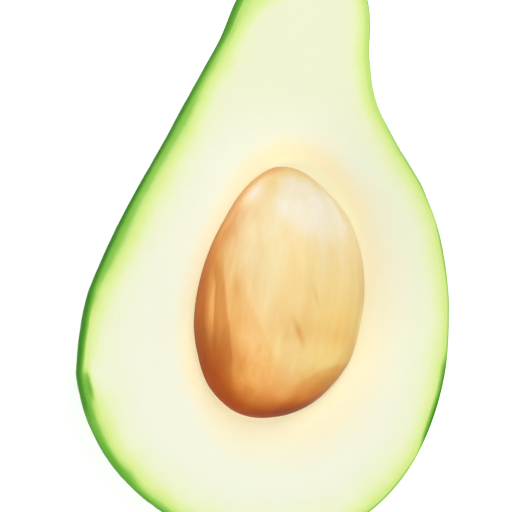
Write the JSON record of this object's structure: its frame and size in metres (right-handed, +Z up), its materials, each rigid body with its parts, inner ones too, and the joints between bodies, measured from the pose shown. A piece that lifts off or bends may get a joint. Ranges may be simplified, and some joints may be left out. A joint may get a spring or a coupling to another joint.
{
  "type": "avocado half with pit",
  "caption": "Lengthwise half of a pear-shaped green-skinned avocado with its pit in place, lying on its back with the cut face up.",
  "frame": {"origin": "middle of the bottom of the bounding box", "axes": "+Z up out of the level cut face, +Y along the fruit towards the neck and stem end, +X to the right seen from above"},
  "size_m": [0.072, 0.1164, 0.0546],
  "materials": {
    "skin": "smooth waxy green peel, faintly pebbled",
    "flesh": "moist soft flesh, lime at the rim and cream towards the pit",
    "pit": "smooth streaked tan seed coat with a low shine"
  },
  "bodies": {
    "root": {"skin": "skin", "flesh": "flesh", "pit": "pit"}
  },
  "joints": []
}
